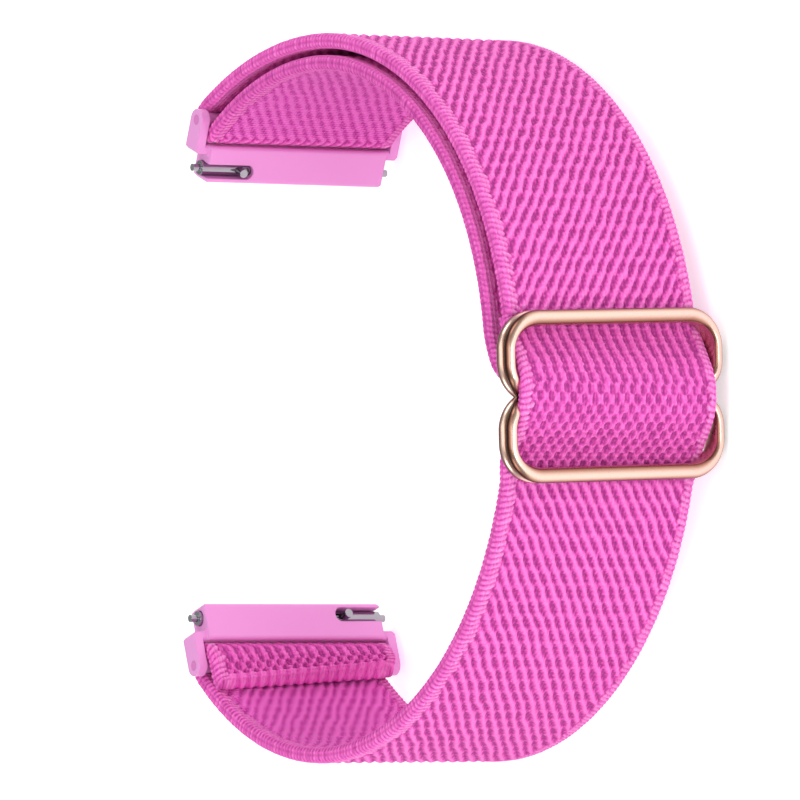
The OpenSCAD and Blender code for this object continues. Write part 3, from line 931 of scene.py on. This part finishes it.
# %% Dye and painted shade of the webbing
# lit is the painted shade of the weave, with grain, yarns and filaments laid over it.
depth = add(cloth, "Math", [(0, deep), (1, 0.3), (2, 0.06)], operation="MULTIPLY_ADD")
fluff = add(cloth, "Math", [(0, nap), (1, 0.22), (2, 0.03)], operation="MULTIPLY_ADD")
grain = add(cloth, "Math", [(0, fuzz), (1, 1.5), (2, -0.75)], operation="MULTIPLY_ADD")
lit = add(cloth, "Math", [(0, height), (1, grain)], operation="ADD")
lit = add(cloth, "Math", [(0, comb), (1, depth), (2, lit)], operation="MULTIPLY_ADD")
lit = add(cloth, "Math", [(0, hairs), (1, fluff), (2, lit)], operation="MULTIPLY_ADD")
dye_and_painted_shade = add(cloth, "ValToRGB", [(0, lit)],
          stops=[(0.0, "#B63896"), (0.35, "#D34AA8"), (0.7, "#EC5CC0"), (1.0, "#FA7ED2")])
pale = add(cloth, "ValToRGB", [(0, lit)],
           stops=[(0.0, "#B53A8C"), (0.45, "#E666BC"), (1.0, "#FC98DC")])
rich_with_painted_light = add(cloth, "ValToRGB", [(0, lit)],
           stops=[(0.0, "#BC3098"), (0.5, "#EE4EC4"), (1.0, "#FF7EDC")])
rubbed_with_painted_light = add(cloth, "Mix", [(0, nap), (6, dye_and_painted_shade), (7, rich_with_painted_light)], out=2, data_type="RGBA")
colour = add(cloth, "Mix", [(0, edge), (6, rubbed_with_painted_light), (7, pale)], out=2, data_type="RGBA")
cloth.links.new(colour, cloth_shader.inputs["Base Color"])
print("the webbing's material has", len(cloth.nodes), "nodes so far")

# %% [markdown]
# The same waves also bend the light a little. The mesh could carry them too, with many times
# its points, but nobody would see more than this bump of 0.2 mm at most. Nylon has an index of
# refraction of about 1.53, and its many small filaments make it matt, with a soft sheen that is
# tinted as the light passes through them.

# %% Surface of the webbing
step = add(cloth, "Math", [(0, deep), (1, 0.5), (2, 0.2)], operation="MULTIPLY_ADD")
tuft = add(cloth, "Math", [(0, nap), (1, 0.4)], operation="MULTIPLY")
threads = add(cloth, "Math", [(0, comb), (1, step), (2, fuzz)], operation="MULTIPLY_ADD")
threads = add(cloth, "Math", [(0, hairs), (1, tuft), (2, threads)], operation="MULTIPLY_ADD")
bump = add(cloth, "Bump", [("Strength", 0.8), ("Distance", 0.0002), ("Height", threads)])
cloth.links.new(bump, cloth_shader.inputs["Normal"])
cloth_shader.inputs["Roughness"].default_value = 0.75
cloth_shader.inputs["IOR"].default_value = 1.53
cloth_shader.inputs["Specular IOR Level"].default_value = 0.25
cloth_shader.inputs["Sheen Weight"].default_value = 0.15
cloth_shader.inputs["Sheen Roughness"].default_value = 0.4
cloth_shader.inputs["Sheen Tint"].default_value = srgb("#F8A0DC")
for strap in (upper_strap, lower_strap):
    repaint(strap, webbing)
print("webbing material has", len(cloth.nodes), "nodes")

# %% [markdown]
# ### Metals
#
# The slider is a zinc casting with a satin plated finish between rose and bronze. The
# connectors are enamelled pink, and the spring bars are turned from stainless steel. A metal's
# colour is its reflection, so the tone comes from the base colour and the light from what
# stands around it. The edges of the machined pieces are slightly broken on the real band.
# They could be bevelled in the mesh, but the CAD meshes stay as they are, so a bevel in the
# shading normal gives each edge the thin light line that this makes. The grain of a satin
# finish is too fine to show, so it is drawn as a faint cloudiness of 0.4 to 1.1 mm.


# %% Metals
def plated_metal(name, code, roughness, grain_mm, metallic=1.0, bevel_mm=0.12):
    """A metal or an enamel on metal, with the cloudiness of its finish at grain_mm."""
    material, tree, shader = new_material(name)
    place = add(tree, "TexCoord", out="Object")
    cloud = add(tree, "TexNoise", [("Vector", place), ("Scale", 1 / (grain_mm * MM)),
                                   ("Detail", 4.0)])
    spread = add(tree, "MapRange", [(0, cloud), (3, roughness * 0.8), (4, roughness * 1.2)])
    tree.links.new(spread, shader.inputs["Roughness"])
    soft = add(tree, "Bevel", [("Radius", bevel_mm * MM)], samples=8)
    bump = add(tree, "Bump", [("Strength", 0.05), ("Distance", 0.00002), ("Height", cloud),
                              ("Normal", soft)])
    tree.links.new(bump, shader.inputs["Normal"])
    shader.inputs["Base Color"].default_value = srgb(code)
    shader.inputs["Metallic"].default_value = metallic
    return material


bronze = plated_metal("satin_rose_bronze_plating", "#C29A80", 0.2, 1.1, bevel_mm=0.01)
bronze_with_painted_light = plated_metal("rose_bronze_casting_with_painted_light", "#C29A80", 0.28, 1.1, bevel_mm=0.01)
pink = plated_metal("satin_pink_enamel_on_zinc", "#E89AD8", 0.4, 0.7, metallic=0.1, bevel_mm=0.18)
pink_pin = plated_metal("pink_enamel_on_pin_end", "#D67CC0", 0.5, 0.7, metallic=0.1)
steel = plated_metal("turned_stainless_steel", "#A3A4A8", 0.16, 0.4, bevel_mm=0.05)
print("metals and enamels:", len((bronze, bronze_with_painted_light, pink, pink_pin, steel)))

# %% [markdown]
# The slider's colour carries painted highlights and painted shade: pale rose on the crests,
# where highlights fall, and dark brown in the groove, where shade falls. A light trick such as
# ambient occlusion could darken the groove, but the painted light that came with the mesh puts
# each tone where it belongs. Every other piece of metal gets the finish that its name calls for.

# %% Finish of each piece
casting = bronze_with_painted_light.node_tree
painted_light_fac = add(casting, "Attribute", out="Fac", attribute_name="painted_light")
highlight_and_shade_ramp = add(casting, "ValToRGB", [(0, painted_light_fac)],
             stops=[(0.0, "#2A1510"), (0.2, "#6A4034"), (0.5, "#AC806C"), (0.95, "#E2C4B4")])
cast_shader = next(node for node in casting.nodes if node.type == "BSDF_PRINCIPLED")
casting.links.new(highlight_and_shade_ramp, cast_shader.inputs["Base Color"])
FINISHES = (("slider", bronze), ("connector", pink), ("strap_bar", pink_pin), ("barrel", steel),
            ("tip", steel), ("knob", steel))
painted = 0
for name, node in nodes.items():
    finish = next((finish for word, finish in FINISHES if word in name), None)
    if finish:
        repaint(node, finish)
        painted += 1
print("CAD nodes with a finish:", painted)

# %% [markdown]
# ## What moves with what
#
# The slider and the springs stand for CAD nodes and move with their bodies. On the real band
# the strap follows the slider: near the connectors it stays with the band, at the slider it
# travels with it, and between the two the webbing feeds through. It could be cut into a still
# and a moving piece, but then it would tear at the slider. Here the two halves of the strap
# are only baked into place; they are not fastened to a body or blended.

# %% Fasten the pieces to their bodies
BLEND_HIGH = 26.0  # height above the middle of the loop where the upper strap stands still
BLEND_LOW = -24.5  # the same for the lower strap
SLIDER_HALF = 7.4  # half the length that goes with the slider

for end, (spring, fixed, keep) in springs.items():
    repaint(spring, steel)
    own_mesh(spring)
repaint(slider_casting, bronze_with_painted_light)
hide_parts("slider_frame")
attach(slider_casting, "slider")
upper_nodes = ("outer_run", "outer_feed", "upper_wrap", "inner_run", "inner_feed", "middle_loop")
lower_nodes = ("window_run", "lower_feed", "lower_run", "lower_wrap", "lower_flap")
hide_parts(*upper_nodes)
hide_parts(*lower_nodes)
for strap, still, moving in ((upper_strap, BLEND_HIGH, SLIDER_HALF),
                             (lower_strap, BLEND_LOW, -SLIDER_HALF)):
    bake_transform(strap)
print("solids of the strap that are replaced:", len(upper_nodes) + len(lower_nodes))

# %% [markdown]
# ## Floor, light and camera
#
# The photograph is a plain product shot on white. Paper under the band could be lit until it
# is white, but the metal would then burn out, so the paper glows a little by itself.

# %% Floor
FLOOR_HALF = 3.0
FLOOR_DROP = 0.0003

floor_mesh = bpy.data.meshes.new("studio_floor")
floor_mesh.from_pydata([(-FLOOR_HALF, -FLOOR_HALF, 0), (FLOOR_HALF, -FLOOR_HALF, 0),
                        (FLOOR_HALF, FLOOR_HALF, 0), (-FLOOR_HALF, FLOOR_HALF, 0)],
                       [], [(0, 1, 2, 3)])
floor = bpy.data.objects.new("studio_floor", floor_mesh)
floor.location.z = -FLOOR_DROP
bpy.context.scene.collection.objects.link(floor)
paper, _, paper_shader = new_material("matte_white_paper")
paper_shader.inputs["Base Color"].default_value = srgb("#FAFAFA")
paper_shader.inputs["Roughness"].default_value = 0.9
paper_shader.inputs["Emission Color"].default_value = srgb("#FFFFFF")
paper_shader.inputs["Emission Strength"].default_value = 0.42
repaint(floor, paper)
print("floor is", 2 * FLOOR_HALF, "m wide")

# %% [markdown]
# The ropes of the weave are bright on their right flanks, so the key light stands low on that
# side, and a wide white surround fills the rest. One strong lamp could light the inside too,
# but it would flatten the ropes. So two small ones look into the loop from its crown and its
# foot, since the photograph's inner faces are as bright as the outer ones.

# %% Light
WORLD_LIGHT = 0.5
SOFTBOXES = (  # name, place in metres, width, height, watts
    ("key_softbox", (0.6, -0.1, 0.13), 0.3, 0.2, 1.3),
    ("front_softbox", (0.5, -0.05, 0.62), 0.4, 0.4, 0.9),
    ("top_softbox", (0.1, 0.1, 0.7), 0.5, 0.5, 0.9),
    ("crown_softbox", (0.0, 0.5, 0.4), 0.3, 0.3, 0.95),
    ("foot_softbox", (0.0, -0.5, 0.4), 0.3, 0.3, 1.0),
)

bpy.context.scene.view_settings.view_transform = "Standard"
world = bpy.data.worlds.new("studio")
bpy.context.scene.world = world
world.use_nodes = True
sky = next(node for node in world.node_tree.nodes if node.type == "BACKGROUND")
sky.inputs["Color"].default_value = (1.0, 1.0, 1.0, 1.0)
sky.inputs["Strength"].default_value = WORLD_LIGHT
centre = Vector(LOOP)
for name, place, width, height_m, watts in SOFTBOXES:
    light = bpy.data.lights.new(name, "AREA")
    light.shape = "RECTANGLE"
    light.size, light.size_y, light.energy = width, height_m, watts
    lamp = bpy.data.objects.new(name, light)
    lamp.location = place
    lamp.rotation_euler = (centre - Vector(place)).to_track_quat("-Z", "Y").to_euler()
    bpy.context.scene.collection.objects.link(lamp)
print("softboxes:", len(SOFTBOXES))

# %% [markdown]
# The photograph was taken with a long lens from the slider's side, 32.5 degrees above the level
# of the loop's middle plane, with the crown at the top. The camera swings 1.2 degrees about
# the loop's axis, because the slider sits that much higher than the middle of the two ends.
# It could be set up by hand and eye, but the outline of the loop gave these values.

# %% Camera
DISTANCE = 0.9
PIXELS_PER_MM = 9.889
SIDE = 800  # pixels of the photograph
SENSOR = 36.0
SHIFT_X, SHIFT_Y = -6.0, -0.5
SWING = -1.2
TO_CAMERA = (0.8434, 0.0, 0.5373)
TO_RIGHT = (0.5373, 0.0160, -0.8433)

swing = Matrix.Rotation(math.radians(SWING), 3, "Z")
view_dir = swing @ Vector(TO_CAMERA).normalized()
right = swing @ Vector(TO_RIGHT).normalized()
up = view_dir.cross(right).normalized()
right = up.cross(view_dir).normalized()
camera_data = bpy.data.cameras.new("camera")
camera_data.sensor_width = SENSOR
camera_data.lens = SENSOR * PIXELS_PER_MM * DISTANCE / MM / SIDE
camera_data.shift_x = SHIFT_X / SIDE
camera_data.shift_y = SHIFT_Y / SIDE
camera_data.clip_end = 20.0
camera = bpy.data.objects.new("camera", camera_data)
facing = Matrix((right, up, view_dir)).transposed().to_4x4()
camera.matrix_world = Matrix.Translation(centre + view_dir * DISTANCE) @ facing
bpy.context.scene.collection.objects.link(camera)
bpy.context.scene.camera = camera
print("lens", round(camera_data.lens, 1), "mm")
